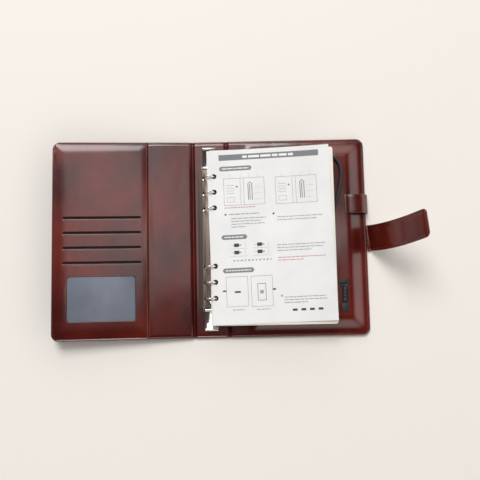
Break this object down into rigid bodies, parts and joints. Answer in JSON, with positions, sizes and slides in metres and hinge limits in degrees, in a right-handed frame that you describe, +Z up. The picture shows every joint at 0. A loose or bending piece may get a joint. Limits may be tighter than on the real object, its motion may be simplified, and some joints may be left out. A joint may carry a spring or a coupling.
{
  "type": "ring organiser with power bank and wireless charging pad",
  "caption": "Open leather ring organiser: card-pocket front cover, ring-bound paper, padded back cover holding a power bank and wireless charging coil, and a magnetic strap.",
  "frame": {"origin": "middle of the spine's outer face, where the open book rests on a table", "axes": "+X towards the fore edge of the back cover, +Y towards the heads of the pages, +Z up from the table"},
  "size_m": [0.4346, 0.24, 0.0844],
  "materials": {
    "leather": "glossy burgundy brown",
    "stiffener": "grey board",
    "foam": "soft padding",
    "pocket_cloth": "black cloth",
    "case_plastic": "moulded",
    "cell_foil": "foil pouch",
    "circuit_board": "solder mask",
    "coil_wire": "enamelled copper",
    "ferrite": "matt",
    "steel": "plain",
    "black_plastic": "satin",
    "light_guide": "clear",
    "black_rubber": "satin",
    "chrome": "polished",
    "cream_paper": "uncoated",
    "white_paper": "uncoated",
    "frosted_film": "frosted"
  },
  "bodies": {
    "back_cover": {"back_outer_skin": "leather", "back_board": "stiffener", "wireless_coil": "coil_wire", "ferrite_sheet": "ferrite", "back_inner_panel": "leather", "pack_foam": "foam", "power_bank_tray": "case_plastic", "power_bank_lid": "case_plastic", "tray_screws": "steel", "battery_cell_inner": "cell_foil", "battery_cell_outer": "cell_foil", "main_board": "circuit_board", "tact_switch": "case_plastic", "status_lights": "light_guide", "usb_socket": "steel", "control_bezel": "black_plastic", "pen_loop": "leather", "cable_grommet": "black_rubber", "charge_cable": "black_rubber", "cable_plug": "black_rubber", "cable_sleeve": "leather", "strap_anchor": "leather"},
    "spine": {"spine_outer_skin": "leather", "spine_board": "stiffener", "spine_liner": "leather", "back_hinge_bead": "leather", "front_hinge_bead": "leather", "ring_plate": "chrome", "plate_rivets": "chrome", "lever_pins": "chrome"},
    "left_rings": {"left_blade": "chrome", "left_half_rings": "chrome"},
    "right_rings": {"right_blade": "chrome", "right_half_rings": "chrome"},
    "upper_lever_tab": {"upper_lever": "chrome"},
    "lower_lever_tab": {"lower_lever": "chrome"},
    "pages": {"page_block": "cream_paper"},
    "loose_sheet": {"leaflet": "white_paper"},
    "front_cover": {"front_outer_skin": "leather", "front_board": "stiffener", "clasp_plate": "steel", "front_liner": "leather", "pocket_panel": "leather", "pocket_backing": "pocket_cloth", "id_window": "frosted_film"},
    "strap_base": {"strap_root": "leather"},
    "strap_end": {"strap_tip_outer": "leather", "strap_tip_lining": "leather", "clasp_magnet": "steel"},
    "button": {"power_button": "black_plastic"},
    "port_cover": {"port_flap": "black_rubber"}
  },
  "joints": [
    {"name": "back_fold", "type": "hinge", "parent": "back_cover", "child": "spine", "pos_m": [0.0205, 0, 0.0009], "axis": [0, 1, 0], "range_deg": [0, 90]},
    {"name": "front_fold", "type": "hinge", "parent": "spine", "child": "front_cover", "pos_m": [-0.0205, 0, 0.0009], "axis": [0, 1, 0], "range_deg": [0, 85]},
    {"name": "pages_swing", "type": "hinge", "parent": "spine", "child": "pages", "pos_m": [0, 0, 0.0165], "axis": [0, 1, 0], "range_deg": [-90, 0]},
    {"name": "sheet_turn", "type": "hinge", "parent": "pages", "child": "loose_sheet", "pos_m": [0, 0, 0.0165], "axis": [0, 1, 0], "range_deg": [-165, 0]},
    {"name": "ring_open", "type": "hinge", "parent": "spine", "child": "left_rings", "pos_m": [-0.0095, 0, 0.005], "axis": [0, 1, 0], "range_deg": [-7, 0]},
    {"name": "right_ring_open", "type": "hinge", "parent": "spine", "child": "right_rings", "pos_m": [0.0095, 0, 0.005], "axis": [0, 1, 0], "range_deg": [0, 7]},
    {"name": "upper_lever_press", "type": "hinge", "parent": "spine", "child": "upper_lever_tab", "pos_m": [0, 0.0864, 0.0066], "axis": [1, 0, 0], "range_deg": [-8.1, 0]},
    {"name": "lower_lever_press", "type": "hinge", "parent": "spine", "child": "lower_lever_tab", "pos_m": [0, -0.0864, 0.0066], "axis": [1, 0, 0], "range_deg": [0, 8.1]},
    {"name": "strap_root_fold", "type": "hinge", "parent": "back_cover", "child": "strap_base", "pos_m": [0.194, -0.003, 0.0026], "axis": [0.1045, -0.9945, 0], "range_deg": [0, 22]},
    {"name": "strap_middle_fold", "type": "hinge", "parent": "strap_base", "child": "strap_end", "pos_m": [0.21331, -0.00097, 0.04202], "axis": [0.1045, -0.9945, 0], "range_deg": [0, 101]},
    {"name": "button_press", "type": "slide", "parent": "back_cover", "child": "button", "axis": [0, 0, 1], "range_m": [-0.0006, 0], "stiffness_N_per_m": 500},
    {"name": "port_flap_open", "type": "hinge", "parent": "back_cover", "child": "port_cover", "pos_m": [0.1594, -0.0808, 0.0143], "axis": [1, 0, 0], "range_deg": [-100, 0]}
  ],
  "couplings": [
    {"joint": "pages_swing", "follows": "back_fold", "ratio": -1},
    {"joint": "right_ring_open", "follows": "ring_open", "ratio": -1},
    {"joint": "upper_lever_press", "follows": "ring_open", "ratio": 1.1429},
    {"joint": "lower_lever_press", "follows": "ring_open", "ratio": -1.1429}
  ]
}
